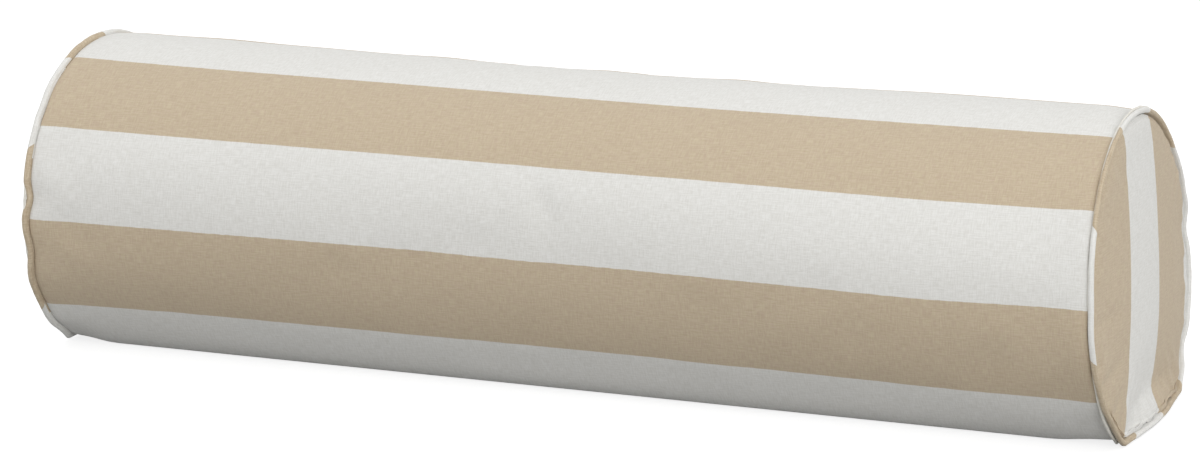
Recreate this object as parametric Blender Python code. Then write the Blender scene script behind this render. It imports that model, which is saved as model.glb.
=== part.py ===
"""A striped bolster pillow: a piped, zipped cover over a filled insert.

Frame: X runs along the bolster, Z is up, and the origin is on the floor under its middle.
The pillow lies on its flattened base. Its zip runs along the hidden side, at +Y.
"""

import math

import bmesh
import bpy
from mathutils import Matrix, Vector

MM = 0.001

# Driving dimensions, in millimetres.
SEAM_LENGTH = 662.0          # from one end seam to the other
HALF_WIDTH = 107.0           # of the oval section at the ends
HALF_HEIGHT = 99.5
BASE_PRESS = 18.9            # how far the base is pressed flat by the pillow's weight
WAIST = 3.8                  # how much slimmer the middle is, on each side
DOME = 10.0                  # how far each end panel bulges
DOME_POWER = 2.2             # 2 is a plain bowl, and more is flatter at the middle

COVER_CLOTH = 0.8
CASE_CLOTH = 0.6
BATTING = 12.0
CASE_DEPTH = 3.2             # from the cover's outer face to the insert's case
CASE_CORNER = 14.1           # bevel of the insert along its end edges
FOAM_CORNER = 6.0
CLEARANCE = 0.3
END_SLACK = 1.0              # between the insert's case and the fleece pads inside its ends

PIPING_RADIUS = 1.8
PIPING_CLOTH = 0.5
PIPING_PROUD = 0.9           # the cord's centre stands this far outside the cover
PIPING_FORWARD = 0.8         # and this far past the end seam
SEAM_ALLOWANCE = 7.5         # turned inside, measured from the cord's centre
SEAM_RUN = 12.0              # the last cross section of the cover is this far behind the seam
FLOOR_GAP = 0.1              # under the piping
CORD_PLAY = 0.1              # between the cord and its cloth, beyond the usual clearance

ZIP_ANGLE = 162.0            # round the section, 90 is the top and 180 the back
ZIP_OPENING = 500.0
ZIP_HELD = 12.0              # degrees each side of the zip where the cover is kept straight
ZIP_FREE = 40.0              # and where it is free to follow the waist
SLOT_MARGIN = 0.4            # between the slider and the cloth's edge
TAPE_CLOTH = 0.6
TAPE_END = 6.0               # the tapes run on past the opening
COIL_WIDTH = 2.35
COIL_HEIGHT = 1.4
COIL_SPLIT = 1.3             # between the two coils, where the slider's wedge runs
COIL_ROUND = 0.4
TACK_LENGTH = 3.0
SLIDER_LENGTH = 9.0
PLATE = 0.8
LOWER_PLATE = 0.6
LOWER_GAP = 0.39             # between the tapes and the plate under them
LIP = 0.8
WEDGE_LENGTH = 3.0
WEDGE_BACK = 1.0             # from the slider's nose to its wedge
BRIDGE_WIDTH = 1.4
BRIDGE_LENGTH = 5.4
BRIDGE_POST = 0.8
HINGE_PLAY = 0.1             # under the pull, beyond the usual clearance
PULL_LENGTH = 22.0
PULL_WIDTH = 4.4
PULL_THICKNESS = 1.0
PULL_WINDOW_PLAY = 0.5       # between the bridge and the sides of the pull's window
OVERLAP = 0.1                # where pieces of one solid run into each other

STEPS = 40                   # facets round the section
STATIONS = 7                 # cross sections along the cover
PANEL_RINGS = (0.3, 0.6, 0.82)
INSERT_RINGS = (0.35, 0.7)
PIPING_SIDES = 8
CORD_SIDES = 6

SLIDER_SIDE = COIL_SPLIT / 2 + COIL_WIDTH + CLEARANCE + LIP
ZIP_SLOT = 2 * (SLIDER_SIDE + SLOT_MARGIN)           # width left open in the cloth
HALF_LENGTH = SEAM_LENGTH / 2
CENTRE_HEIGHT = HALF_HEIGHT - BASE_PRESS
STEP = 360.0 / STEPS


def smooth_step(low, high, value):
    share = min(max((value - low) / (high - low), 0.0), 1.0)
    return share * share * (3 - 2 * share)


def below(angle):
    """How far an angle is from straight down, in degrees."""
    return abs((angle + 90 + 180) % 360 - 180)


def base_share(angle):
    """1 where the section is pressed flat on the floor, 0 clear of it."""
    contact = math.degrees(math.acos(CENTRE_HEIGHT / HALF_HEIGHT))
    return 1 - smooth_step(contact, contact + 2 * STEP, below(angle) - 1)


def zip_share(angle):
    """1 along the zip, whose tapes keep the cover straight, and 0 well away from it."""
    away = abs((angle - ZIP_ANGLE + 180) % 360 - 180)
    return 1 - smooth_step(ZIP_HELD, ZIP_FREE, away)


def on_section(angle, depth, scale=1.0):
    """(y, z) of the section at this angle, this far inside the outer face."""
    turn = math.radians(angle)
    y = -(HALF_WIDTH - depth) * math.cos(turn)
    z = max((HALF_HEIGHT - depth) * math.sin(turn), depth - CENTRE_HEIGHT)
    return y * scale * MM, (z * scale + CENTRE_HEIGHT) * MM


def waist_depth(x, angle):
    return WAIST * (1 - (x / HALF_LENGTH) ** 2) * (1 - zip_share(angle))


def body_point(x, angle, depth):
    y, z = on_section(angle, depth + waist_depth(x, angle) * (1 - base_share(angle)))
    return Vector((x * MM, y, z))


def seam_point(side, forward, depth, angle):
    """A point near an end seam, forward of its plane. The floor pushes the seam in."""
    lift = (PIPING_RADIUS + PIPING_PROUD + FLOOR_GAP) * base_share(angle)
    y, z = on_section(angle, depth + lift)
    return Vector((side * (HALF_LENGTH + forward) * MM, y, z))


def stations(reach):
    """Where the cross sections lie: at shared places, and at this layer's two ends."""
    shared = [HALF_LENGTH * 0.9 * (2 * k / (STATIONS - 1) - 1) for k in range(STATIONS)]
    return [-reach] + shared + [reach]


def all_angles():
    return [k * STEP for k in range(STEPS)]


def plain_material(name, colour, roughness, metallic=0.0):
    material = bpy.data.materials.new(name)
    material.use_nodes = True
    shader = material.node_tree.nodes["Principled BSDF"]
    shader.inputs["Base Color"].default_value = (*colour, 1.0)
    shader.inputs["Roughness"].default_value = roughness
    shader.inputs["Metallic"].default_value = metallic
    material.diffuse_color = (*colour, 1.0)
    return material


def finish(name, build, colour, roughness=0.9, metallic=0.0):
    """Makes a bmesh one outward-facing object with its own material."""
    bmesh.ops.remove_doubles(build, verts=build.verts, dist=1e-7)
    bmesh.ops.recalc_face_normals(build, faces=build.faces)
    if build.calc_volume(signed=True) < 0:
        bmesh.ops.reverse_faces(build, faces=build.faces)
    mesh = bpy.data.meshes.new(name)
    build.to_mesh(mesh)
    build.free()
    mesh.shade_smooth()
    mesh.set_sharp_from_angle(angle=math.radians(40))
    mesh.materials.append(plain_material(name, colour, roughness, metallic))
    piece = bpy.data.objects.new(name, mesh)
    bpy.context.scene.collection.objects.link(piece)
    return piece


def add_grid(build, rows, wrap_rows=False):
    """Faces between closed rings of points, each a list of the same length.

    Every quad is split along the same diagonal, so that nested layers stay parallel.
    """
    verts = [[build.verts.new(p) for p in row] for row in rows]
    count = len(rows[0])
    for a in range(len(rows) - (0 if wrap_rows else 1)):
        low, high = verts[a], verts[(a + 1) % len(rows)]
        if low[0].co.x > high[0].co.x:
            low, high = high, low
        for k in range(count):
            after = (k + 1) % count
            build.faces.new((low[k], low[after], high[after]))
            build.faces.new((low[k], high[after], high[k]))
    return verts


STRIPE_SAND = (0.56, 0.45, 0.31)
STRIPE_WHITE = (0.72, 0.71, 0.68)
LINING_WHITE = (0.80, 0.80, 0.78)
FLEECE = (0.86, 0.86, 0.85)
FOAM = (0.80, 0.74, 0.52)
NICKEL = (0.62, 0.62, 0.60)


# Along the seam: forward is +X at the right end, and deep is into the pillow.
def seam_frame(along, across):
    """(forward, depth) from the piping's centre, along the allowance and across it."""
    root = math.sqrt(0.5)
    forward = PIPING_FORWARD + root * (across - along)
    depth = -PIPING_PROUD + root * (across + along)
    return forward, depth


LAYER_SIDE = 0.5                                     # half of the piping's folded flange
CLOTH_SIDE = LAYER_SIDE + CLEARANCE                  # where the neighbouring cloth starts
TURN = math.sqrt((PIPING_RADIUS + CLEARANCE) ** 2 - CLOTH_SIDE ** 2)


def cover_body():
    """The striped tube: turned in at both ends, and open along the zip."""
    build = bmesh.new()
    turn_in = seam_frame(TURN, -CLOTH_SIDE)
    far_out = seam_frame(SEAM_ALLOWANCE, -CLOTH_SIDE)
    far_in = seam_frame(SEAM_ALLOWANCE, -CLOTH_SIDE - COVER_CLOTH)
    inner_depth = turn_in[1] + COVER_CLOTH
    back = (inner_depth + PIPING_PROUD + math.sqrt(0.5) * (CLOTH_SIDE + COVER_CLOTH))
    inner_turn = seam_frame(back / math.sqrt(0.5), -CLOTH_SIDE - COVER_CLOTH)
    slot_end = ZIP_OPENING / 2
    xs = sorted(stations(HALF_LENGTH - SEAM_RUN) + [-slot_end, slot_end])
    slot = math.degrees(ZIP_SLOT / 2 / HALF_WIDTH)
    clear_of_slot = [a for a in all_angles() if abs(a - ZIP_ANGLE) > slot]
    angles = sorted(clear_of_slot + [ZIP_ANGLE - slot, ZIP_ANGLE + slot])
    rows = []
    for x in xs:
        rows.append([body_point(x, a, 0) for a in angles])
    rows.append([seam_point(1, *turn_in, a) for a in angles])
    rows.append([seam_point(1, *far_out, a) for a in angles])
    rows.append([seam_point(1, *far_in, a) for a in angles])
    rows.append([seam_point(1, *inner_turn, a) for a in angles])
    for x in reversed(xs):
        rows.append([body_point(x, a, COVER_CLOTH) for a in angles])
    rows.append([seam_point(-1, *inner_turn, a) for a in angles])
    rows.append([seam_point(-1, *far_in, a) for a in angles])
    rows.append([seam_point(-1, *far_out, a) for a in angles])
    rows.append([seam_point(-1, *turn_in, a) for a in angles])
    verts = add_grid(build, rows, wrap_rows=True)
    # The zip's slot: the faces between its two edges go, and walls join the two faces.
    k = angles.index(ZIP_ANGLE - slot)
    count = len(xs)
    first, last = xs.index(-slot_end), xs.index(slot_end)
    doomed = set()
    for row in range(first, last):
        for r in (row, 2 * count + 2 - row):
            corners = {verts[r][k], verts[r][k + 1], verts[r + 1][k], verts[r + 1][k + 1]}
            doomed |= {f for v in corners for f in v.link_faces if set(f.verts) <= corners}
    bmesh.ops.delete(build, geom=list(doomed), context="FACES_ONLY")
    for row in range(first, last):
        up, down = 2 * count + 3 - row, 2 * count + 3 - row - 1
        for edge in (k, k + 1):
            build.faces.new((verts[row][edge], verts[row + 1][edge], verts[down][edge], verts[up][edge]))
    for row in (first, last):
        up = 2 * count + 3 - row
        build.faces.new((verts[row][k], verts[row][k + 1], verts[up][k + 1], verts[up][k]))
    return finish("cover_body", build, STRIPE_SAND)


def dome(share):
    """How far the end panel stands out at this share of its radius."""
    return DOME * (1 - share ** DOME_POWER)


def dome_row(side, share, behind):
    """A ring of a domed end face, this far behind the panel's outer face."""
    points = []
    for angle in all_angles():
        y, z = on_section(angle, 0, share)
        points.append(Vector((side * (HALF_LENGTH + dome(share) - behind) * MM, y, z)))
    return points


def dome_tip(side, behind):
    return Vector((side * (HALF_LENGTH + DOME - behind) * MM, 0, CENTRE_HEIGHT * MM))


def close_row(build, row, tip):
    centre = build.verts.new(tip)
    for k in range(len(row)):
        build.faces.new((row[k], row[(k + 1) % len(row)], centre))


def cover_end(name, side):
    """A domed end panel with its edge turned in beside the piping."""
    build = bmesh.new()
    turn_in = seam_frame(TURN, CLOTH_SIDE)
    far_out = seam_frame(SEAM_ALLOWANCE, CLOTH_SIDE)
    far_in = seam_frame(SEAM_ALLOWANCE, CLOTH_SIDE + COVER_CLOTH)
    inner_forward = turn_in[0] - COVER_CLOTH
    along = (PIPING_FORWARD + math.sqrt(0.5) * (CLOTH_SIDE + COVER_CLOTH) - inner_forward) / math.sqrt(0.5)
    inner_turn = seam_frame(along, CLOTH_SIDE + COVER_CLOTH)
    rows = [dome_row(side, share, 0) for share in PANEL_RINGS]
    for forward, depth in (turn_in, far_out, far_in, inner_turn):
        rows.append([seam_point(side, forward, depth, a) for a in all_angles()])
    rows += [dome_row(side, share, COVER_CLOTH) for share in reversed(PANEL_RINGS)]
    verts = add_grid(build, rows)
    close_row(build, verts[0], dome_tip(side, 0))
    close_row(build, verts[-1], dome_tip(side, COVER_CLOTH))
    return finish(name, build, STRIPE_SAND)


def piping(name, side):
    """Cloth folded round the cord, with its two edges running into the seam."""
    inner = PIPING_RADIUS - PIPING_CLOTH
    gap = CLEARANCE / 2
    outline = [seam_frame(SEAM_ALLOWANCE, -LAYER_SIDE)]
    half = math.degrees(math.asin(LAYER_SIDE / PIPING_RADIUS))
    for k in range(PIPING_SIDES):
        turn = math.radians(180 + half + (360 - 2 * half) * k / (PIPING_SIDES - 1))
        outline.append(seam_frame(-PIPING_RADIUS * math.cos(turn), PIPING_RADIUS * math.sin(turn)))
    outline += [seam_frame(SEAM_ALLOWANCE, LAYER_SIDE), seam_frame(SEAM_ALLOWANCE, gap)]
    half = math.degrees(math.asin(gap / inner))
    for k in range(PIPING_SIDES):
        turn = math.radians(180 - half - (360 - 2 * half) * k / (PIPING_SIDES - 1))
        outline.append(seam_frame(-inner * math.cos(turn), inner * math.sin(turn)))
    outline.append(seam_frame(SEAM_ALLOWANCE, -gap))
    build = bmesh.new()
    add_grid(build, [[seam_point(side, *p, a) for a in all_angles()] for p in outline], wrap_rows=True)
    return finish(name, build, STRIPE_WHITE)


def piping_cord(name, side):
    """The cotton cord inside the piping."""
    radius = PIPING_RADIUS - PIPING_CLOTH - CLEARANCE - CORD_PLAY
    build = bmesh.new()
    rows = []
    for k in range(CORD_SIDES):
        turn = math.radians(360 / CORD_SIDES * k)
        spot = seam_frame(radius * math.cos(turn), radius * math.sin(turn))
        rows.append([seam_point(side, *spot, a) for a in all_angles()])
    add_grid(build, rows, wrap_rows=True)
    return finish(name, build, LINING_WHITE)


def tube(name, reach, outer, inner, colour):
    """A straight layer of the insert, open at both ends."""
    build = bmesh.new()
    xs = stations(reach)
    rows = [[body_point(x, a, outer) for a in all_angles()] for x in xs]
    rows += [[body_point(x, a, inner) for a in all_angles()] for x in reversed(xs)]
    add_grid(build, rows, wrap_rows=True)
    return finish(name, build, colour)


CORNER_START = CASE_CORNER + CASE_DEPTH              # behind the seam, where the corner begins
CASE_INSIDE = CASE_DEPTH + CASE_CLOTH
BATTING_DEPTH = CASE_INSIDE + CLEARANCE
FOAM_DEPTH = BATTING_DEPTH + BATTING + 2 * CLEARANCE


def layer_row(side, forward, depth):
    """A ring of the insert near an end, forward of the seam's plane."""
    return [body_point(side * (HALF_LENGTH + forward), a, depth) for a in all_angles()]


def case_end(name, side):
    """A shallow cap of the insert's case, bevelled along its edge."""
    build = bmesh.new()
    rows = [dome_row(side, share, CASE_DEPTH) for share in INSERT_RINGS]
    rows.append(layer_row(side, -CASE_DEPTH, CORNER_START))
    rows.append(layer_row(side, -CORNER_START, CASE_DEPTH))
    rows.append(layer_row(side, -CORNER_START, CASE_INSIDE))
    rows.append(layer_row(side, -CASE_INSIDE, CORNER_START))
    rows += [dome_row(side, share, CASE_INSIDE) for share in reversed(INSERT_RINGS)]
    verts = add_grid(build, rows)
    close_row(build, verts[0], dome_tip(side, CASE_DEPTH))
    close_row(build, verts[-1], dome_tip(side, CASE_INSIDE))
    return finish(name, build, LINING_WHITE)


def batting_end(name, side):
    """A crowned pad of fleece between the foam's end and the case."""
    build = bmesh.new()
    behind = BATTING_DEPTH + END_SLACK
    flat = FOAM_DEPTH - 2 * CLEARANCE
    edge = CORNER_START + END_SLACK
    foam_line = 2 * FOAM_DEPTH + FOAM_CORNER         # depth plus distance behind, on the bevel
    clear = 2 * CLEARANCE
    rows = [dome_row(side, share, behind) for share in INSERT_RINGS]
    rows.append(layer_row(side, -behind, edge))
    rows.append(layer_row(side, -edge, BATTING_DEPTH))
    rows.append(layer_row(side, -edge, foam_line - clear - edge))
    rows.append(layer_row(side, -flat, foam_line - clear - flat))
    verts = add_grid(build, rows)
    close_row(build, verts[0], dome_tip(side, behind))
    close_row(build, verts[-1], Vector((side * (HALF_LENGTH - flat) * MM, 0, CENTRE_HEIGHT * MM)))
    return finish(name, build, FLEECE)


def foam_core():
    """The solid foam bolster at the middle."""
    build = bmesh.new()
    reach = HALF_LENGTH - FOAM_DEPTH
    xs = stations(reach - FOAM_CORNER)
    rows = [layer_row(-1, -FOAM_DEPTH, FOAM_DEPTH + FOAM_CORNER)]
    rows += [[body_point(x, a, FOAM_DEPTH) for a in all_angles()] for x in xs]
    rows.append(layer_row(1, -FOAM_DEPTH, FOAM_DEPTH + FOAM_CORNER))
    verts = add_grid(build, rows)
    close_row(build, verts[0], Vector((-reach * MM, 0, CENTRE_HEIGHT * MM)))
    close_row(build, verts[-1], Vector((reach * MM, 0, CENTRE_HEIGHT * MM)))
    return finish("foam_core", build, FOAM)


# The zip's own frame: along X, across it round the section, and out from the cloth.
def zip_axes():
    y, z = on_section(ZIP_ANGLE, 0)
    turn = math.radians(ZIP_ANGLE)
    out = Vector((0, -HALF_HEIGHT * math.cos(turn), HALF_WIDTH * math.sin(turn))).normalized()
    across = Vector((1, 0, 0)).cross(out)
    return Vector((0, y, z)), across, out


ZIP_ORIGIN, ZIP_ACROSS, ZIP_OUT = zip_axes()


def zip_point(x, across, out):
    return ZIP_ORIGIN + Vector((x * MM, 0, 0)) + ZIP_ACROSS * (across * MM) + ZIP_OUT * (out * MM)


def add_box(build, x, across, out):
    """A box in the zip's frame; each argument is (low, high)."""
    corners = [zip_point(a, b, c) for a in x for b in across for c in out]
    verts = [build.verts.new(p) for p in corners]
    for face in ((0, 1, 3, 2), (4, 6, 7, 5), (0, 4, 5, 1), (2, 3, 7, 6), (0, 2, 6, 4), (1, 5, 7, 3)):
        build.faces.new([verts[k] for k in face])


def zip_box(name, x, across, out, colour, roughness=0.5, metallic=0.0):
    build = bmesh.new()
    add_box(build, x, across, out)
    return finish(name, build, colour, roughness, metallic)


TAPE_DEPTH = COVER_CLOTH + CLEARANCE
COIL_BASE = -TAPE_DEPTH + CLEARANCE
COIL_TOP = COIL_BASE + COIL_HEIGHT
COIL_REACH = ZIP_OPENING / 2 - CLEARANCE - TACK_LENGTH - CLEARANCE


def zip_tape(name, sign):
    """A woven tape under the cloth's edge, following the section."""
    build = bmesh.new()
    slot = math.degrees(ZIP_SLOT / 2 / HALF_WIDTH)
    split = math.degrees(COIL_SPLIT / 2 / HALF_WIDTH)
    angles = [ZIP_ANGLE + sign * a for a in (split, slot, STEP)]
    rows = []
    reach = ZIP_OPENING / 2 + TAPE_END
    for x in (-reach, reach):
        outer = [body_point(x, a, TAPE_DEPTH) for a in angles]
        inner = [body_point(x, a, TAPE_DEPTH + TAPE_CLOTH) for a in reversed(angles)]
        rows.append(outer + inner)
    verts = add_grid(build, rows)
    for row in verts:
        for k in range(2):
            build.faces.new((row[k], row[k + 1], row[4 - k], row[5 - k]))
    return finish(name, build, LINING_WHITE)


def zip_coil(name, sign):
    """One side's coil of teeth, as the bar that holds it."""
    near, far = sign * COIL_SPLIT / 2, sign * (COIL_SPLIT / 2 + COIL_WIDTH)
    piece = zip_box(name, (-COIL_REACH, COIL_REACH), sorted((near, far)), (COIL_BASE, COIL_TOP), LINING_WHITE)
    bevel = piece.modifiers.new("rounded", "BEVEL")
    bevel.width = COIL_ROUND * MM
    bevel.segments = 2
    return piece


def zip_tack(name, side):
    """The thread bar that closes the zip and stops its slider."""
    x = sorted((side * (COIL_REACH + CLEARANCE), side * (COIL_REACH + CLEARANCE + TACK_LENGTH)))
    half = COIL_SPLIT / 2 + COIL_WIDTH
    return zip_box(name, x, (-half, half), (COIL_BASE, COIL_TOP), STRIPE_SAND, 0.8)


SLIDER_UNDER = COIL_TOP + CLEARANCE
SLIDER_TOP = SLIDER_UNDER + PLATE
PLATE_BELOW = -(TAPE_DEPTH + TAPE_CLOTH) - LOWER_GAP
HINGE_HEIGHT = SLIDER_TOP + CLEARANCE + HINGE_PLAY + PULL_THICKNESS / 2
SLIDER_REST = COIL_REACH - SLIDER_LENGTH / 2 - CLEARANCE
BRIDGE_TOP = HINGE_HEIGHT + PULL_THICKNESS / 2 + CLEARANCE + PLATE


def joined(piece, cutters, operation="UNION"):
    for cutter in cutters:
        boolean = piece.modifiers.new(cutter.name, "BOOLEAN")
        boolean.operation = operation
        boolean.object = cutter
        cutter.hide_render = True
        cutter.display_type = "WIRE"


def zip_slider():
    """Two plates joined by a wedge between the coils, with a bridge for the pull."""
    x = (SLIDER_REST - SLIDER_LENGTH / 2, SLIDER_REST + SLIDER_LENGTH / 2)
    wide = (-SLIDER_SIDE, SLIDER_SIDE)
    slider = zip_box("zipper_slider", x, wide, (SLIDER_UNDER, SLIDER_TOP), NICKEL, 0.35, 1.0)
    nose = x[1] - WEDGE_BACK
    wedge_x = (nose - WEDGE_LENGTH, nose)
    wedge = COIL_SPLIT / 2 - CLEARANCE
    bridge = (-BRIDGE_WIDTH / 2, BRIDGE_WIDTH / 2)
    parts = [(x, wide, (PLATE_BELOW - LOWER_PLATE, PLATE_BELOW)),
             (wedge_x, (-wedge, wedge), (PLATE_BELOW - OVERLAP, SLIDER_UNDER + OVERLAP))]
    lip_low = -TAPE_DEPTH + 2 * CLEARANCE
    for sign in (-1, 1):
        across = sorted((sign * SLIDER_SIDE, sign * (SLIDER_SIDE - LIP)))
        parts.append((x, across, (lip_low, SLIDER_UNDER + OVERLAP)))
        post = sorted((SLIDER_REST + sign * BRIDGE_LENGTH / 2,
                       SLIDER_REST + sign * (BRIDGE_LENGTH / 2 - BRIDGE_POST)))
        parts.append((post, bridge, (SLIDER_TOP - OVERLAP, BRIDGE_TOP - OVERLAP)))
    bar = (SLIDER_REST - BRIDGE_LENGTH / 2, SLIDER_REST + BRIDGE_LENGTH / 2)
    parts.append((bar, bridge, (BRIDGE_TOP - PLATE, BRIDGE_TOP)))
    joined(slider, [zip_box(f"slider_part_{k}", *part, NICKEL) for k, part in enumerate(parts)])
    set_origin(slider, zip_point(SLIDER_REST, 0, 0))
    return slider


def set_origin(piece, point):
    """Moves an object's origin without moving its shape."""
    piece.data.transform(Matrix.Translation(piece.location - point))
    piece.location = point


def zip_pull():
    """A flat tab. Its end bar turns under the slider's bridge."""
    low, high = HINGE_HEIGHT - PULL_THICKNESS / 2, HINGE_HEIGHT + PULL_THICKNESS / 2
    bar = PULL_THICKNESS / 2
    x = (SLIDER_REST - PULL_LENGTH, SLIDER_REST + bar)
    pull = zip_box("zipper_pull", x, (-PULL_WIDTH / 2, PULL_WIDTH / 2), (low, high), NICKEL, 0.35, 1.0)
    window_side = BRIDGE_WIDTH / 2 + PULL_WINDOW_PLAY
    reach = math.hypot(BRIDGE_LENGTH / 2, BRIDGE_TOP - HINGE_HEIGHT) + 2 * CLEARANCE
    window = zip_box("pull_window", (SLIDER_REST - reach, SLIDER_REST - bar), (-window_side, window_side),
                     (low - OVERLAP, high + OVERLAP), NICKEL)
    joined(pull, [window], "DIFFERENCE")
    set_origin(pull, zip_point(SLIDER_REST, 0, HINGE_HEIGHT))
    return pull


def build_cover():
    cover_body()
    for name, side in (("left", -1), ("right", 1)):
        cover_end(f"cover_end_{name}", side)
        piping(f"piping_{name}", side)
        piping_cord(f"piping_cord_{name}", side)


def build_insert():
    end_gap = CORNER_START + CLEARANCE
    tube("insert_case_body", HALF_LENGTH - end_gap, CASE_DEPTH, CASE_INSIDE, LINING_WHITE)
    tube("batting_wrap", HALF_LENGTH - end_gap - END_SLACK, BATTING_DEPTH, BATTING_DEPTH + BATTING, FLEECE)
    for name, side in (("left", -1), ("right", 1)):
        case_end(f"insert_case_end_{name}", side)
        batting_end(f"batting_end_{name}", side)
    foam_core()


def build_zip():
    for name, sign in (("upper", -1), ("lower", 1)):
        zip_tape(f"zipper_tape_{name}", sign)
        zip_coil(f"zipper_coil_{name}", sign)
    for name, side in (("left", -1), ("right", 1)):
        zip_tack(f"zipper_tack_{name}", side)
    slider = zip_slider()
    pull = zip_pull()
    bpy.context.view_layer.update()
    pull.parent = slider
    pull.matrix_parent_inverse = slider.matrix_world.inverted()


for old in list(bpy.data.objects):
    bpy.data.objects.remove(old)
build_cover()
build_insert()
build_zip()
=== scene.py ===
import math

import bpy
from mathutils import Matrix, Vector, noise


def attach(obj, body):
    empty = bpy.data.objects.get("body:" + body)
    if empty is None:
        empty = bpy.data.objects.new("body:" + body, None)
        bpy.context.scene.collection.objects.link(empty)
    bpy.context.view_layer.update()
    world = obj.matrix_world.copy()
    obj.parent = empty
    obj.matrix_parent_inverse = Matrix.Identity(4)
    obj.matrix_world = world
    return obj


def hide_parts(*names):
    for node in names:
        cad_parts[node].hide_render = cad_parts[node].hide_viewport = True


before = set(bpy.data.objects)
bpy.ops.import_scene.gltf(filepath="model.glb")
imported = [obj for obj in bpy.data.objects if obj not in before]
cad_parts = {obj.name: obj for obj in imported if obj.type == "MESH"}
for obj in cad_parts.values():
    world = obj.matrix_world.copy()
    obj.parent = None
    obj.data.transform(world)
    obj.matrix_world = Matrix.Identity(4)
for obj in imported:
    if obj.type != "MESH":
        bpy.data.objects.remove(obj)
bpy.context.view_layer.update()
print("frame loaded")

# the cover's oval, in metres and degrees: 0 faces the front, 90 is up, 180 the back
bolster = {
    "halfLength": 0.331,
    "halfWidth": 0.107,
    "halfHeight": 0.0995,
    "centreHeight": 0.0806,
    "waist": 0.0038,
    "waistFree": (12, 40),      # degrees from the zip over which the waist comes in
    "dome": 0.0092,
    "domePower": 2.2,
    "clothThickness": 0.0008,
    "baseMargin": 1.0,
    "baseFade": 18.0,
    "zipAngle": 162.0,
    "stripe": 0.0582,
    "stripeStart": 0.0049,
}

# how far each end's plane leans off upright, how fast that fades towards the middle,
# and the share of the half length at which it stops growing
endLean = {"right": 0.065, "left": 0.029, "power": 6, "furthest": 1.04}


def smooth(low, high, value):
    share = min(max((value - low) / (high - low), 0.0), 1.0)
    return share * share * (3 - 2 * share)


def fromDown(angle):
    return abs((angle + 270) % 360 - 180)


def baseShare(angle):
    contact = math.degrees(math.acos(bolster["centreHeight"] / bolster["halfHeight"]))
    away = fromDown(angle) - bolster["baseMargin"]
    return 1 - smooth(contact, contact + bolster["baseFade"], away)


def fromZip(angle):
    return abs((angle - bolster["zipAngle"] + 180) % 360 - 180)


def onSection(angle, depth, scale=1.0):
    turn = math.radians(angle)
    y = -(bolster["halfWidth"] - depth) * math.cos(turn)
    z = max((bolster["halfHeight"] - depth) * math.sin(turn), depth - bolster["centreHeight"])
    return y * scale, z * scale + bolster["centreHeight"]


def waistDepth(x, angle):
    held = 1 - smooth(*bolster["waistFree"], fromZip(angle))
    slim = bolster["waist"] * (1 - (x / bolster["halfLength"]) ** 2)
    return max(slim, 0) * (1 - held) * (1 - baseShare(angle))


def lean(point):
    share = min(abs(point.x / bolster["halfLength"]), endLean["furthest"]) ** endLean["power"]
    amount = endLean["right"] if point.x > 0 else endLean["left"]
    return Vector((point.x - amount * (point.z - bolster["centreHeight"]) * share, point.y, point.z))


def ripple(angle, turns, seed):
    turn = math.radians(angle)
    return noise.noise(Vector((math.cos(turn) * turns, math.sin(turn) * turns, seed)))


def bump(value, middle, width):
    away = (value - middle + 180) % 360 - 180
    return math.exp(-(away / width) ** 2)


# the gathered seam at each end; a fold is (angle, width, forward, deeper), in degrees and metres
seam = {
    "forward": 0.0008,          # the cord's centre, past the end's plane
    "proud": 0.0009,            # and outside the cover
    "cordRadius": 0.00165,
    "allowance": 0.0075,
    "floorLift": 0.0028,
    "pulledRight": 0.0022,      # that end's seam stands a little further out
    "longWave": (0.0005, 2.4, 0),       # wandering: height, how quick, seed
    "shortWave": (0.0004, 9.5, 20),
    "deepWave": (0.0003, 7.5, 40),
    "seed": 3.7,
    "seedStep": 5,                      # so that the two ends differ
    "right": [
        (90, 22, 0.0, 0.0015),          # flattened on top
        (30, 35, -0.0010, -0.0010),     # full shoulder at the front
        (-10, 16, -0.0005, -0.0020),
        (-48, 16, 0.0, 0.0035),         # tucked under above the floor
        (-90, 32, 0.0060, 0.0),         # pushed forward where it rests
        (-144, 7, -0.0015, 0.0022),     # two tucks on the far side
        (175, 6, -0.0018, 0.0022),
        (130, 25, -0.0005, 0.0020),
    ],
    "left": [
        (90, 22, 0.0, 0.0010),
        (10, 4, -0.0020, 0.0020),       # two tucks at the front
        (-9, 5, -0.0015, 0.0010),
        (-20, 8, 0.0005, -0.0010),
        (-50, 5, -0.0010, 0.0030),
    ],
}


def wander(angle, wave, seed):
    height, turns, offset = wave
    return height * ripple(angle, turns, seed + offset)


def seamWave(side, angle):
    seed = seam["seed"] + seam["seedStep"] * side
    forward, deep = seam["pulledRight"] if side > 0 else 0.0, 0.0
    for middle, width, foldForward, foldDeep in seam["right" if side > 0 else "left"]:
        forward += foldForward * bump(angle, middle, width)
        deep += foldDeep * bump(angle, middle, width)
    forward += wander(angle, seam["longWave"], seed) + wander(angle, seam["shortWave"], seed)
    deep += wander(angle, seam["deepWave"], seed)
    return forward, deep * (1 - baseShare(angle))


def seamPoint(side, forward, depth, angle, waviness=1.0):
    waveForward, waveDeep = seamWave(side, angle)
    lift = seam["floorLift"] * baseShare(angle)
    y, z = onSection(angle, depth + lift + waveDeep * waviness)
    return Vector((side * (bolster["halfLength"] + forward + waveForward * waviness), y, z))


def seamFrame(along, across):
    root = math.sqrt(0.5)
    return seam["forward"] + root * (across - along), -seam["proud"] + root * (across + along)


def deselectAll():
    if bpy.context.mode != "OBJECT":
        bpy.ops.object.mode_set(mode="OBJECT")
    bpy.ops.object.select_all(action="DESELECT")


def activate(piece):
    deselectAll()
    piece.select_set(True)
    bpy.context.view_layer.objects.active = piece


def named(name):
    piece = bpy.context.view_layer.objects.active
    piece.name = name
    piece.data.name = name
    return piece


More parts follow.
